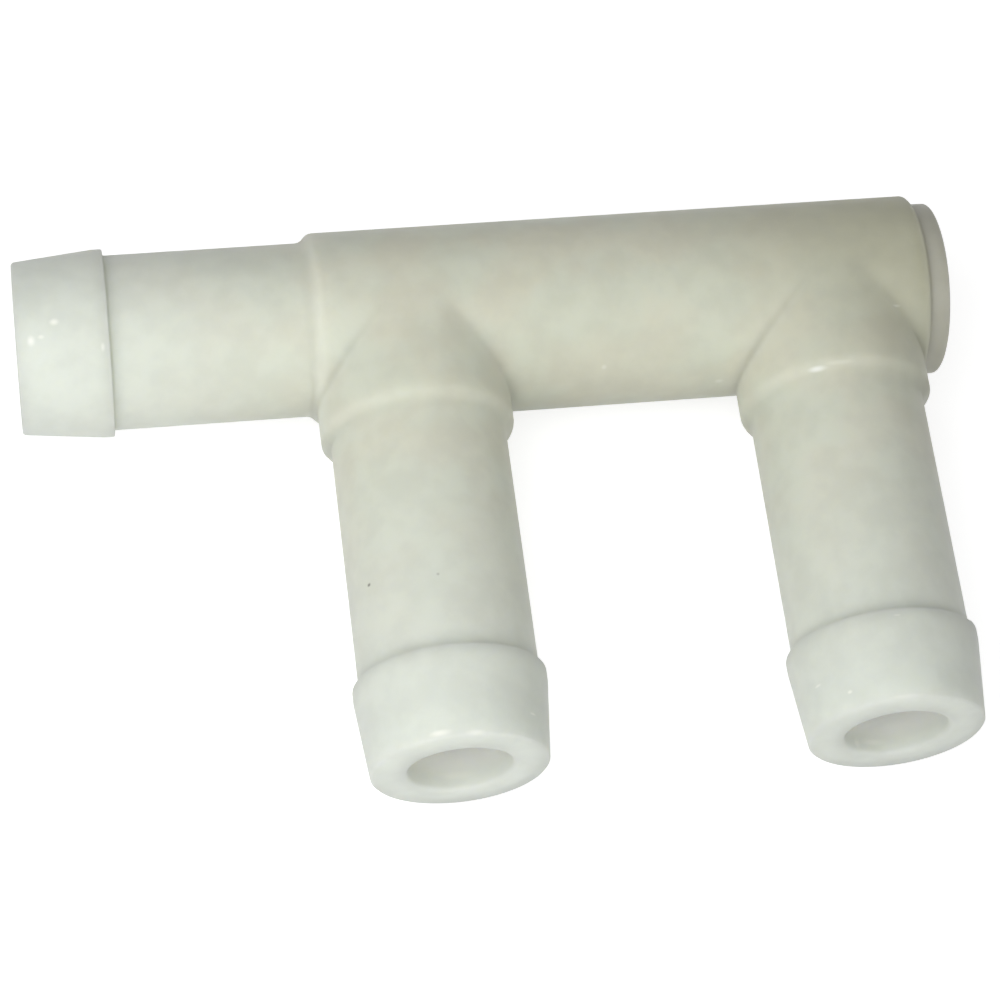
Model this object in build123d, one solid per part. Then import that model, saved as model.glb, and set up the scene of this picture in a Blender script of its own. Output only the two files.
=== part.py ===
from build123d import *
import os

# F-shaped hose connector, moulded in one piece: a run with a hose spigot at its inlet end and a closed
# far end, and two equal outlets square to it. It lies on its side, with all three axes in one level plane.
# Lengths are in millimetres. Places along the run are measured from the inlet's tip face.

# Hose spigot, the same on the inlet and on both outlets
STEM_RADIUS = 8.0           # takes hose of 16 mm (5/8 inch) bore
BARB_CREST_RADIUS = 8.6
BARB_TIP_RADIUS = 7.9
BARB_LENGTH = 8.3           # tip face to the square shoulder behind the crest
BARB_LAND = 1.0             # short cylinder at the crest
TIP_CHAMFER = 0.2           # 45 degree lead-in at the tip's rim

# Waterways
BORE_RADIUS = 4.65
MOUTH_ROUNDING = 0.4
END_WALL = 3.4              # solid end beyond the blind run

# Thicker body on the run, and collars of the same radius where the outlets leave it
BODY_RADIUS = 8.84
BODY_START = 26.3
BODY_END = 83.4
BODY_END_ROUNDING = 0.5
COLLAR_REACH = 12.5         # run axis to the foot of the collar's shoulder

# Overall layout
RUN_LENGTH = 85.4
STUB_ROUNDING = 0.3
OUTLET_PLACES = (35.55, 74.45)
OUTLET_REACH = 44.6         # run axis to an outlet's tip face
CORE_OVERRUN = 1.0          # how far a core pin stands out of its mouth

SHOULDER_STEP = BODY_RADIUS - STEM_RADIUS
RUN_AXIS_Y = (OUTLET_REACH - BODY_RADIUS) / 2
RUN_AXIS_Z = BODY_RADIUS

# Each axis as a plane whose Z points towards the mouth. The run's starts at its closed end.
RUN_PLANE = Plane((RUN_LENGTH / 2, RUN_AXIS_Y, RUN_AXIS_Z), x_dir=(0, 1, 0), z_dir=(-1, 0, 0))
OUTLET_PLANES = [
    Plane((place - RUN_LENGTH / 2, RUN_AXIS_Y, RUN_AXIS_Z), x_dir=(1, 0, 0), z_dir=(0, -1, 0))
    for place in OUTLET_PLACES
]


def half_section(outline):
    """The closed face of a half section, from its (radius, height) points."""
    return make_face(Polyline(*outline, close=True))


def rounded(section, corner, radius):
    """The half section with the corner at that point rounded."""
    vertex = section.vertices().sort_by_distance(Vector(*corner))[0]
    return fillet(vertex, radius)


def turned(section):
    """Revolve a half section about Z."""
    return revolve(Plane.XZ * section, Axis.Z)


def barb_outline(tip):
    """The outline of a barb whose tip face is at that height, from the end of the stem."""
    shoulder = tip - BARB_LENGTH
    return [
        (STEM_RADIUS, shoulder),
        (BARB_CREST_RADIUS, shoulder),
        (BARB_CREST_RADIUS, shoulder + BARB_LAND),
        (BARB_TIP_RADIUS, tip - TIP_CHAMFER),
        (BARB_TIP_RADIUS - TIP_CHAMFER, tip),
        (0, tip),
    ]


def outlet():
    """One outlet, from the run's axis: collar, 45 degree shoulder, stem and barb."""
    collar = [
        (0, 0),
        (BODY_RADIUS, 0),
        (BODY_RADIUS, COLLAR_REACH - SHOULDER_STEP),
        (STEM_RADIUS, COLLAR_REACH),
    ]
    return turned(half_section(collar + barb_outline(OUTLET_REACH)))


def run():
    """The run, from its closed end: stub, thick body, 45 degree shoulder, stem and barb."""
    stub_end = (STEM_RADIUS, 0)
    body_end = (BODY_RADIUS, RUN_LENGTH - BODY_END)
    shoulder = RUN_LENGTH - BODY_START
    body = [
        (0, 0),
        stub_end,
        (STEM_RADIUS, RUN_LENGTH - BODY_END),
        body_end,
        (BODY_RADIUS, shoulder - SHOULDER_STEP),
        (STEM_RADIUS, shoulder),
    ]
    section = half_section(body + barb_outline(RUN_LENGTH))
    section = rounded(section, stub_end, STUB_ROUNDING)
    section = rounded(section, body_end, BODY_END_ROUNDING)
    return turned(section)


def core(foot, mouth):
    """The core pin that leaves a waterway between two heights, standing out of the mouth."""
    top = mouth + CORE_OVERRUN
    return turned(half_section([(0, foot), (BORE_RADIUS, foot), (BORE_RADIUS, top), (0, top)]))


def mouth_edges(body):
    """The three circles where the waterways leave the tip faces."""
    circles = body.edges().filter_by(GeomType.CIRCLE)
    rims = [edge for edge in circles if abs(edge.radius - BORE_RADIUS) < MOUTH_ROUNDING / 2]
    mouths = [RUN_PLANE.origin + RUN_PLANE.z_dir * RUN_LENGTH]
    mouths += [plane.origin + plane.z_dir * OUTLET_REACH for plane in OUTLET_PLANES]
    return [min(rims, key=lambda edge: (edge.arc_center - mouth).length) for mouth in mouths]


def connector():
    """Walls first, then the waterways cut together, then the rounded mouths."""
    walls = RUN_PLANE * run()
    waterways = RUN_PLANE * core(END_WALL, RUN_LENGTH)
    for plane in OUTLET_PLANES:
        walls += plane * outlet()
        waterways += plane * core(0, OUTLET_REACH)
    body = walls - waterways
    return fillet(mouth_edges(body), MOUTH_ROUNDING)


os.makedirs("parts", exist_ok=True)
export_step(connector(), "parts/connector_body.step")
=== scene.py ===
from math import cos, pi, radians, sin

import bmesh
import bpy
from mathutils import Matrix, Vector
from mathutils.bvhtree import BVHTree


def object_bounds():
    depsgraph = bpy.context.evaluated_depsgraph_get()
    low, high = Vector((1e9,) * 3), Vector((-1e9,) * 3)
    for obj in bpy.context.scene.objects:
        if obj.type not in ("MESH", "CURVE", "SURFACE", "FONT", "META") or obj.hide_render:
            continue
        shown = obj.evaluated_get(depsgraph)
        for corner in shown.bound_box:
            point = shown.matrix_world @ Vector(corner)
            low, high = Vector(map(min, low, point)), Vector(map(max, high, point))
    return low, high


# The looks of a hose connector moulded in natural nylon: rounded edges, a milky translucent material with
# small marks, a white floor, soft lamps and the camera. Lengths are in metres unless a comment says so.

MM = 0.001

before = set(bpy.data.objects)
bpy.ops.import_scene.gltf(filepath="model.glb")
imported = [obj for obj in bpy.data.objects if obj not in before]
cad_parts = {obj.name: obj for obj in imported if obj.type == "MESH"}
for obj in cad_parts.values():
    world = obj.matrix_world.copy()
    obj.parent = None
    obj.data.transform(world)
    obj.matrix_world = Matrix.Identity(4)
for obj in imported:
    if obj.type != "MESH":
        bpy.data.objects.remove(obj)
cad_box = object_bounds()
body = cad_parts["connector_body"]

# The view: an orbit about a point just beside the run, near the middle of the part.
VIEW_TARGET = Vector((-0.50, -0.98, 8.84)) * MM
VIEW_AZIMUTH = radians(-16.53)
VIEW_ELEVATION = radians(63.01)
VIEW_ROLL = radians(10.59)
VIEW_DISTANCE = 306.6 * MM
VIEW_LENS = 122.2               # focal length and sensor width, both in millimetres
VIEW_SENSOR = 36.0
VIEW_CLIP_START = 10 * MM
VIEW_FRAME = 1000               # width and height of the picture in pixels

# Places on the part.
INLET_TIP_X = cad_box[0].x
OUTLET_TIP_Y = cad_box[0].y
CLOSED_END_X = cad_box[1].x
RUN_AXIS_Y = 17.88 * MM
AXIS_Z = 8.84 * MM              # height of all three axes
OUTLET_AXES_X = (-7.15 * MM, 31.75 * MM)
BODY_START_X = -15.98 * MM      # middle of the 45 degree shoulder on the run
COLLAR_FOOT = 12.08 * MM        # run axis to the middle of a collar's shoulder
BORE_END_X = 39.3 * MM
BORE_REACH = 4.9 * MM           # just over the radius of the waterways
BORE_MARGIN = 0.2 * MM
BORE_BACK_Y = RUN_AXIS_Y + BORE_REACH

# Rounding of the moulded edges, which are sharp in the frame.
SHOULDER_ROUNDING = 0.35 * MM
CREASE_ROUNDING = 0.20 * MM
BARB_ROUNDING = 0.15 * MM
ROUNDING_SEGMENTS = 3
SHARP_ANGLE = radians(22)
WELD_DISTANCE = 0.002 * MM
EDGE_GRID = 4 * WELD_DISTANCE
NORMAL_WEIGHT = 100             # lets the large faces set the normals, not the narrow rounded edges

# How far each kind of rounding reaches, and the corners too tight to be rounded.
RIM_REACH = 0.6 * MM
BARB_REACH = 9.0 * MM
SLOPE_REACH = 1.0 * MM
TIGHT_CORNERS = (Vector((-16.0, 9.0, 8.84)) * MM, Vector((40.5, 9.0, 8.84)) * MM)
TIGHT_REACH = 4.5 * MM

# The nylon's colours: whiter towards the open tips, and darker and yellower towards the closed end, which is
# painted shade. The waterways are paler beyond the mouths, which is painted light.
MILK_WARM = (0.640, 0.640, 0.530, 1.0)
MILK_GREEN = (0.624, 0.646, 0.542, 1.0)
TIP_WHITE = (0.682, 0.718, 0.660, 1.0)
# Painted shade towards the closed end, a little lighter on the stub at the very end.
END_PAINTED_SHADE = (0.500, 0.500, 0.385, 1.0)
STUB_PAINTED_SHADE = (0.550, 0.545, 0.465, 1.0)
# Painted light: the waterways' walls paler beyond the mouths.
BORE_PAINTED_LIGHT = (0.880, 0.890, 0.850, 1.0)
# White of the painted highlights and reflections and of the pale marks.
MARK_AND_HIGHLIGHT_WHITE = (0.880, 0.890, 0.830, 1.0)
SPECK_GREY = (0.230, 0.230, 0.200, 1.0)

# Where each colour gives way to the next, as distances from the tips or from the closed end.
TIP_FADE = (1 * MM, 34 * MM)
END_FADE = (2 * MM, 30 * MM)
STUB_FADE = (2.2 * MM, 1.6 * MM)
BORE_FADE = (0 * MM, 3 * MM)
OUTLET_STRETCH = 1.1            # the closed end's painted shade gives way this much faster down the outlet

# Unevenness of the nylon. Scales are in cycles per metre.
CLOUD_SCALE = 170.0
PATCH_SCALE = 330.0
MOTTLE_SCALE = 620.0
GRAIN_SCALE = 2600.0
NOISE_MIDDLE = (0.35, 0.65)     # the part of a noise's range that most of it lies in
PATCH_SHARE = 0.6
SHADE_SPAN = (0.965, 1.025)

# The moulded skin.
ROUGHNESS_FROM = (0.25, 0.75)
ROUGHNESS_SPAN = (0.38, 0.50)
MOTTLE_HEIGHT = 0.6
GRAIN_HEIGHT = 0.15
BUMP_STRENGTH = 0.15
BUMP_DEPTH = 0.05 * MM
EDGE_SOFTNESS = 2.5 * MM        # how far light carries round an edge
EDGE_SAMPLES = 4
NYLON_IOR = 1.53
NYLON_SPECULAR = 0.15
GLOW_SHARE = 0.7                # share of the light that scatters below the surface
GLOW_DEPTH = 2.8 * MM
GLOW_COLOURS = (1.0, 0.95, 0.75)

# Small pale marks, painted highlights and painted reflections: the pixel of the picture where each shows,
# its half sizes along X, Y and Z in millimetres, and how strongly it shows.
PALE_MARKS_AND_HIGHLIGHTS = {
    # Painted highlights: a streak on the second collar's shoulder and glints on the rims and barbs.
    "second collar, streak": ((817, 369), (1.05, 0.28, 0.6), 0.85),
    "second collar, end of streak": ((839, 362), (1.60, 0.25, 0.5), 0.25),
    "first outlet, left of rim": ((440, 733), (1.25, 0.33, 0.5), 0.70),
    "first outlet, right of rim": ((476, 732), (1.00, 0.27, 0.4), 0.45),
    "first outlet, side of barb": ((533, 714), (0.50, 0.14, 0.5), 0.60),
    "second outlet, side of barb": ((818, 686), (0.45, 0.14, 0.5), 0.60),
    "second outlet, dot on barb": ((850, 692), (0.25, 0.20, 0.4), 0.70),
    "second outlet, rim": ((906, 696), (1.95, 0.22, 0.4), 0.27),
    "inlet, back of barb": ((54, 322), (0.50, 0.35, 0.4), 0.80),
    "inlet, tip": ((31, 341), (0.40, 0.60, 0.4), 0.85),
    "inlet, beside the tip": ((41, 337), (0.35, 0.22, 0.4), 0.60),
    "inlet, crest of barb": ((103, 347), (0.22, 0.50, 0.4), 0.60),
    # Painted reflections of light inside the two mouths.
    "first outlet, inside": ((455, 775), (1.90, 0.45, 0.6), 0.50),
    "second outlet, inside": ((871, 742), (1.80, 0.35, 0.6), 0.50),
    "second outlet, inside left": ((857, 743), (0.40, 0.50, 0.6), 0.45),
    # Small pale marks on the moulded skin.
    "second outlet, tick on stem": ((897, 615), (0.40, 0.12, 0.3), 0.45),
    "second collar, tick": ((896, 306), (0.50, 0.15, 0.4), 0.35),
    "run, left tick": ((604, 367), (0.30, 0.20, 0.4), 0.35),
    "run, right tick": ((719, 381), (0.50, 0.20, 0.4), 0.35),
}
SPECKS = {
    "first outlet, dark speck": ((369, 585), (0.22, 0.20, 0.3), 1.00),
    "first outlet, faint speck": ((438, 574), (0.18, 0.16, 0.3), 0.40),
}
MARK_FADE = (1.2, 0.1)          # shares of its half sizes from which a mark shows, and within which fully

# The floor's own colour, and the glow that makes it white to the camera: stronger far from the lamps.
FLOOR_SIZE = 3.0
FLOOR_COLOUR = (0.60, 0.60, 0.60, 1.0)
FLOOR_SPAN = (0.10, 0.50)
FLOOR_GLOW = (0.72, 0.92)
WHITE = (1.0, 1.0, 1.0, 1.0)

# Light: the surround's level, and each lamp's azimuth and elevation in degrees, distance and size in metres,
# and level.
SURROUND_LEVEL = 0.19
LAMPS = {
    "key": (-50, 66, 0.19, 0.14, 0.43),
    "left": (-95, 42, 0.20, 0.16, 0.18),
    "front": (-30, 20, 0.22, 0.16, 0.35),
    "right": (35, 30, 0.36, 0.24, 0.26),
    "back": (180, 50, 0.36, 0.24, 0.08),
}


class Nodes:
    """A material's or world's node tree, with short calls for the few node types used here."""

    def __init__(self, owner):
        owner.use_nodes = True
        self.tree = owner.node_tree
        self.tree.nodes.clear()

    def add(self, kind, inputs=None, **settings):
        node = self.tree.nodes.new("ShaderNode" + kind)
        for name, value in settings.items():
            setattr(node, name, value)
        for name, value in (inputs or {}).items():
            self.feed(node.inputs[name], value)
        return node

    def feed(self, socket, value):
        """Link a socket to another's output, or set its value."""
        if isinstance(value, bpy.types.NodeSocket):
            self.tree.links.new(value, socket)
        else:
            socket.default_value = value

    def math(self, operation, *values, clamp=False):
        node = self.add("Math", operation=operation, use_clamp=clamp)
        for socket, value in zip(node.inputs, values):
            self.feed(socket, value)
        return node.outputs[0]

    def vector(self, operation, *values):
        node = self.add("VectorMath", operation=operation)
        for socket, value in zip(node.inputs, values):
            self.feed(socket, value)
        return node.outputs

    def mix_colour(self, factor, first, second, blend="MIX"):
        node = self.add("Mix", data_type="RGBA", blend_type=blend)
        colours = [socket for socket in node.inputs if socket.type == "RGBA"]
        self.feed(node.inputs[0], factor)
        self.feed(colours[0], first)
        self.feed(colours[1], second)
        return node.outputs[2]

    def noise(self, coordinates, scale, detail, roughness=0.5):
        node = self.add("TexNoise", {
            "Vector": coordinates, "Scale": scale, "Detail": detail, "Roughness": roughness,
        })
        return node.outputs[0]

    def ramp(self, value, low, high, to_low=0.0, to_high=1.0, kind="SMOOTHSTEP"):
        node = self.add("MapRange", {
            "Value": value, "From Min": low, "From Max": high, "To Min": to_low, "To Max": to_high,
        }, interpolation_type=kind)
        return node.outputs[0]

    def finish(self, kind, shader):
        """Send a shader to the tree's output, a Material or World one."""
        self.feed(self.add("Output" + kind).inputs["Surface"], shader.outputs[0])


def axis_distance(nodes, across, axis, height):
    """Distance from a waterway's axis, by the coordinate across it and the height above the floor."""
    aside = nodes.math("SUBTRACT", across, axis)
    up = nodes.math("SUBTRACT", height, AXIS_Z)
    square = nodes.math("ADD", nodes.math("MULTIPLY", aside, aside), nodes.math("MULTIPLY", up, up))
    return nodes.math("SQRT", square)


def bore_mask(nodes, split):
    """1 on the walls of the waterways, 0 elsewhere."""
    run = axis_distance(nodes, split["Y"], RUN_AXIS_Y, split["Z"])
    beyond_end = nodes.math("GREATER_THAN", split["X"], BORE_END_X + BORE_MARGIN)
    nearest = nodes.math("ADD", run, beyond_end)
    behind = nodes.math("GREATER_THAN", split["Y"], BORE_BACK_Y)
    for axis_x in OUTLET_AXES_X:
        outlet = axis_distance(nodes, split["X"], axis_x, split["Z"])
        nearest = nodes.math("MINIMUM", nearest, nodes.math("ADD", outlet, behind))
    return nodes.ramp(nearest, BORE_REACH, BORE_REACH - BORE_MARGIN)


def direction(azimuth, elevation):
    """The unit vector towards a place on a dome: azimuth 0 is the front, -Y, and 90 degrees is +X."""
    return Vector((sin(azimuth) * cos(elevation), -cos(azimuth) * cos(elevation), sin(elevation)))


def view_axes():
    """The camera's right, up and backward directions."""
    back = direction(VIEW_AZIMUTH, VIEW_ELEVATION)
    level = Vector((0, 0, 1)).cross(back).normalized()
    upright = back.cross(level)
    right = cos(VIEW_ROLL) * level + sin(VIEW_ROLL) * upright
    up = cos(VIEW_ROLL) * upright - sin(VIEW_ROLL) * level
    return right, up, back


def part_surface():
    """The frame's own surface, as a tree that lines of sight can be cast at."""
    faces = bmesh.new()
    faces.from_mesh(body.data)
    surface = BVHTree.FromBMesh(faces)
    faces.free()
    return surface


def place_in_picture(surface, pixel):
    """The place on the part that shows at a pixel of the picture."""
    right, up, back = view_axes()
    across, down = (value - VIEW_FRAME / 2 for value in pixel)
    focal_pixels = VIEW_LENS / VIEW_SENSOR * VIEW_FRAME
    sight = (right * across - up * down) / focal_pixels - back
    return surface.ray_cast(VIEW_TARGET + back * VIEW_DISTANCE, sight.normalized())[0]


def marks_mask(nodes, place, marks):
    """How strongly any of the marks shows, each a soft ellipsoid in the part's own space."""
    surface = part_surface()
    total = 0.0
    for pixel, half_sizes, strength in marks.values():
        offset = nodes.vector("SUBTRACT", place, place_in_picture(surface, pixel))[0]
        scaled = nodes.vector("DIVIDE", offset, Vector(half_sizes) * MM)[0]
        radius = nodes.vector("LENGTH", scaled)["Value"]
        total = nodes.math("MAXIMUM", total, nodes.ramp(radius, *MARK_FADE, 0.0, strength))
    return total


def nylon_colour(nodes, place, mottle):
    """Milky white that changes from the open tips to the closed end, uneven, with painted shade at the
    closed end, painted light inside the waterways, pale marks and painted highlights.
    """
    split = nodes.add("SeparateXYZ", {"Vector": place}).outputs
    cloud = nodes.noise(place, CLOUD_SCALE, detail=2.0)
    patch = nodes.noise(place, PATCH_SCALE, detail=1.0)

    from_inlet_tip = nodes.math("SUBTRACT", split["X"], INLET_TIP_X)
    from_outlet_tip = nodes.math("SUBTRACT", split["Y"], OUTLET_TIP_Y)
    from_tip = nodes.math("MINIMUM", from_inlet_tip, from_outlet_tip)
    from_end = nodes.math("SUBTRACT", CLOSED_END_X, split["X"])
    down_outlet = nodes.math("SUBTRACT", RUN_AXIS_Y, split["Y"], clamp=True)
    from_end_round = nodes.math("ADD", from_end, nodes.math("MULTIPLY", down_outlet, OUTLET_STRETCH))

    milk = nodes.mix_colour(nodes.ramp(cloud, *NOISE_MIDDLE), MILK_WARM, MILK_GREEN)
    colour = nodes.mix_colour(nodes.ramp(from_tip, *TIP_FADE, kind="LINEAR"), TIP_WHITE, milk)
    # Painted shade: darker and yellower towards the closed end, a little lighter on the stub.
    colour = nodes.mix_colour(nodes.ramp(from_end_round, *END_FADE), END_PAINTED_SHADE, colour)
    colour = nodes.mix_colour(nodes.ramp(from_end, *STUB_FADE), colour, STUB_PAINTED_SHADE)

    patches = nodes.math("MULTIPLY", patch, PATCH_SHARE)
    uneven = nodes.math("ADD", patches, nodes.math("MULTIPLY", mottle, 1 - PATCH_SHARE))
    shade = nodes.ramp(uneven, *NOISE_MIDDLE, *SHADE_SPAN)
    shades = nodes.add("CombineColor", {"Red": shade, "Green": shade, "Blue": shade}).outputs[0]
    colour = nodes.mix_colour(1.0, colour, shades, blend="MULTIPLY")

    # Painted light: the waterways' walls paler beyond the mouths.
    inside = nodes.math("MULTIPLY", bore_mask(nodes, split), nodes.ramp(from_tip, *BORE_FADE))
    colour = nodes.mix_colour(inside, colour, BORE_PAINTED_LIGHT)
    # Painted highlights and reflections, and pale marks.
    colour = nodes.mix_colour(marks_mask(nodes, place, PALE_MARKS_AND_HIGHLIGHTS), colour, MARK_AND_HIGHLIGHT_WHITE)
    return nodes.mix_colour(marks_mask(nodes, place, SPECKS), colour, SPECK_GREY)


def nylon_normal(nodes, place, mottle):
    """A faintly uneven moulded skin, whose shading carries softly round the edges."""
    grain = nodes.noise(place, GRAIN_SCALE, detail=1.0)
    waves = nodes.math("MULTIPLY", mottle, MOTTLE_HEIGHT)
    skin = nodes.math("ADD", waves, nodes.math("MULTIPLY", grain, GRAIN_HEIGHT))
    softened = nodes.add("Bevel", {"Radius": EDGE_SOFTNESS}, samples=EDGE_SAMPLES).outputs[0]
    bump = nodes.add("Bump", {
        "Height": skin, "Strength": BUMP_STRENGTH, "Distance": BUMP_DEPTH, "Normal": softened,
    })
    return bump.outputs[0]


def natural_nylon():
    """Uncoloured nylon: milky, translucent, faintly mottled, with a satin moulded skin."""
    material = bpy.data.materials.new("natural_nylon")
    nodes = Nodes(material)
    place = nodes.add("TexCoord").outputs["Object"]
    mottle = nodes.noise(place, MOTTLE_SCALE, detail=3.0, roughness=0.6)
    shader = nodes.add("BsdfPrincipled", {
        "Base Color": nylon_colour(nodes, place, mottle),
        "Roughness": nodes.ramp(mottle, *ROUGHNESS_FROM, *ROUGHNESS_SPAN),
        "IOR": NYLON_IOR,
        "Specular IOR Level": NYLON_SPECULAR,
        "Normal": nylon_normal(nodes, place, mottle),
        "Subsurface Weight": GLOW_SHARE,
        "Subsurface Radius": GLOW_COLOURS,
        "Subsurface Scale": GLOW_DEPTH,
    })
    nodes.finish("Material", shader)
    return material


def rounding_at(place):
    """How wide a sharp edge is rounded, by where it is. Rims and tight corners stay sharp."""
    from_tip = min(place.x - INLET_TIP_X, place.y - OUTLET_TIP_Y)
    if from_tip < RIM_REACH or abs(place.x - BORE_END_X) < RIM_REACH:
        return 0.0
    if min((place - corner).length for corner in TIGHT_CORNERS) < TIGHT_REACH:
        return 0.0
    if from_tip < BARB_REACH:
        return BARB_ROUNDING
    on_collar = abs(RUN_AXIS_Y - place.y - COLLAR_FOOT) < SLOPE_REACH
    on_body_start = abs(place.x - BODY_START_X) < SLOPE_REACH
    return SHOULDER_ROUNDING if on_collar or on_body_start else CREASE_ROUNDING


def middle(edge):
    """The middle of an edge."""
    return (edge.verts[0].co + edge.verts[1].co) / 2


def grid_key(place):
    """A place on a grid coarse enough to match the same edge in two copies of a mesh."""
    return tuple(round(value / EDGE_GRID) for value in place)


def mark_sharp_edges(mesh):
    """Give each sharp edge between two moulded faces its rounding, as a share of the widest.

    The frame's faces don't share their points, so the angles are measured on a welded copy.
    """
    faces_apart = bmesh.new()
    faces_apart.from_mesh(mesh)
    welded = faces_apart.copy()
    bmesh.ops.remove_doubles(welded, verts=welded.verts, dist=WELD_DISTANCE)
    rounding = {}
    for edge in welded.edges:
        if edge.is_manifold and edge.calc_face_angle() > SHARP_ANGLE:
            place = middle(edge)
            rounding[grid_key(place)] = rounding_at(place)
    weights = mesh.attributes.new("bevel_weight_edge", "FLOAT", "EDGE")
    for edge in faces_apart.edges:
        if edge.is_boundary:
            width = rounding.get(grid_key(middle(edge)), 0.0)
            weights.data[edge.index].value = width / SHOULDER_ROUNDING
    welded.free()
    faces_apart.free()


def finish_body():
    """Keep the frame's own mesh, with its edges rounded as a mould leaves them, and give it its material."""
    mark_sharp_edges(body.data)
    weld = body.modifiers.new("weld", "WELD")
    weld.merge_threshold = WELD_DISTANCE
    edges = body.modifiers.new("edge_rounding", "BEVEL")
    edges.width = SHOULDER_ROUNDING
    edges.segments = ROUNDING_SEGMENTS
    edges.limit_method = "WEIGHT"
    edges.use_clamp_overlap = False
    normals = body.modifiers.new("normals", "WEIGHTED_NORMAL")
    normals.weight = NORMAL_WEIGHT
    for polygon in body.data.polygons:
        polygon.use_smooth = True
    body.data.materials.clear()
    body.data.materials.append(natural_nylon())


def seen_directly(nodes):
    """1 for what the camera sees, also in a reflection or through glass, and 0 for the light given off."""
    path = nodes.add("LightPath").outputs
    by_way_of_part = nodes.math("MAXIMUM", path["Is Glossy Ray"], path["Is Transmission Ray"])
    return nodes.math("MAXIMUM", path["Is Camera Ray"], by_way_of_part)


def floor():
    """A pale floor that reads as white to the camera and still takes the part's soft shadow."""
    bpy.ops.mesh.primitive_plane_add(size=FLOOR_SIZE)
    plane = bpy.context.object
    plane.name = "floor"
    material = bpy.data.materials.new("floor")
    nodes = Nodes(material)
    place = nodes.add("TexCoord").outputs["Object"]
    from_middle = nodes.vector("LENGTH", place)["Value"]
    brightness = nodes.ramp(from_middle, *FLOOR_SPAN, *FLOOR_GLOW)
    strength = nodes.math("MULTIPLY", seen_directly(nodes), brightness)
    matt = nodes.add("BsdfDiffuse", {"Color": FLOOR_COLOUR})
    glow = nodes.add("Emission", {"Color": WHITE, "Strength": strength})
    both = nodes.add("AddShader", {0: matt.outputs[0], 1: glow.outputs[0]})
    nodes.finish("Material", both)
    plane.data.materials.append(material)


def surround():
    """An even white surround, seen as plain white behind the floor."""
    sky = bpy.data.worlds.new("surround")
    bpy.context.scene.world = sky
    nodes = Nodes(sky)
    shown = nodes.math("MULTIPLY", seen_directly(nodes), 1 - SURROUND_LEVEL)
    level = nodes.math("ADD", shown, SURROUND_LEVEL)
    nodes.finish("World", nodes.add("Background", {"Color": WHITE, "Strength": level}))


def lamp(name, azimuth, elevation, distance, size, level):
    """A square soft box aimed at the part. Level is what it adds to a white card that faces it."""
    data = bpy.data.lights.new(name, "AREA")
    data.size = size
    data.energy = level * pi ** 2 * distance ** 2
    soft_box = bpy.data.objects.new(name, data)
    bpy.context.scene.collection.objects.link(soft_box)
    place = direction(radians(azimuth), radians(elevation)) * distance
    aim = place.to_track_quat("Z", "Y").to_matrix().to_4x4()
    soft_box.matrix_world = Matrix.Translation(place) @ aim


def camera():
    """A camera on the orbit about the target, rolled about its own line of sight."""
    right, up, back = view_axes()
    data = bpy.data.cameras.new("camera")
    data.lens = VIEW_LENS
    data.sensor_width = VIEW_SENSOR
    data.clip_start = VIEW_CLIP_START
    view = bpy.data.objects.new("camera", data)
    bpy.context.scene.collection.objects.link(view)
    turn = Matrix((right, up, back)).transposed().to_4x4()
    view.matrix_world = Matrix.Translation(VIEW_TARGET + back * VIEW_DISTANCE) @ turn
    bpy.context.scene.camera = view


finish_body()
floor()
surround()
for lamp_name, settings in LAMPS.items():
    lamp(lamp_name, *settings)
camera()
bpy.context.scene.view_settings.view_transform = "Standard"
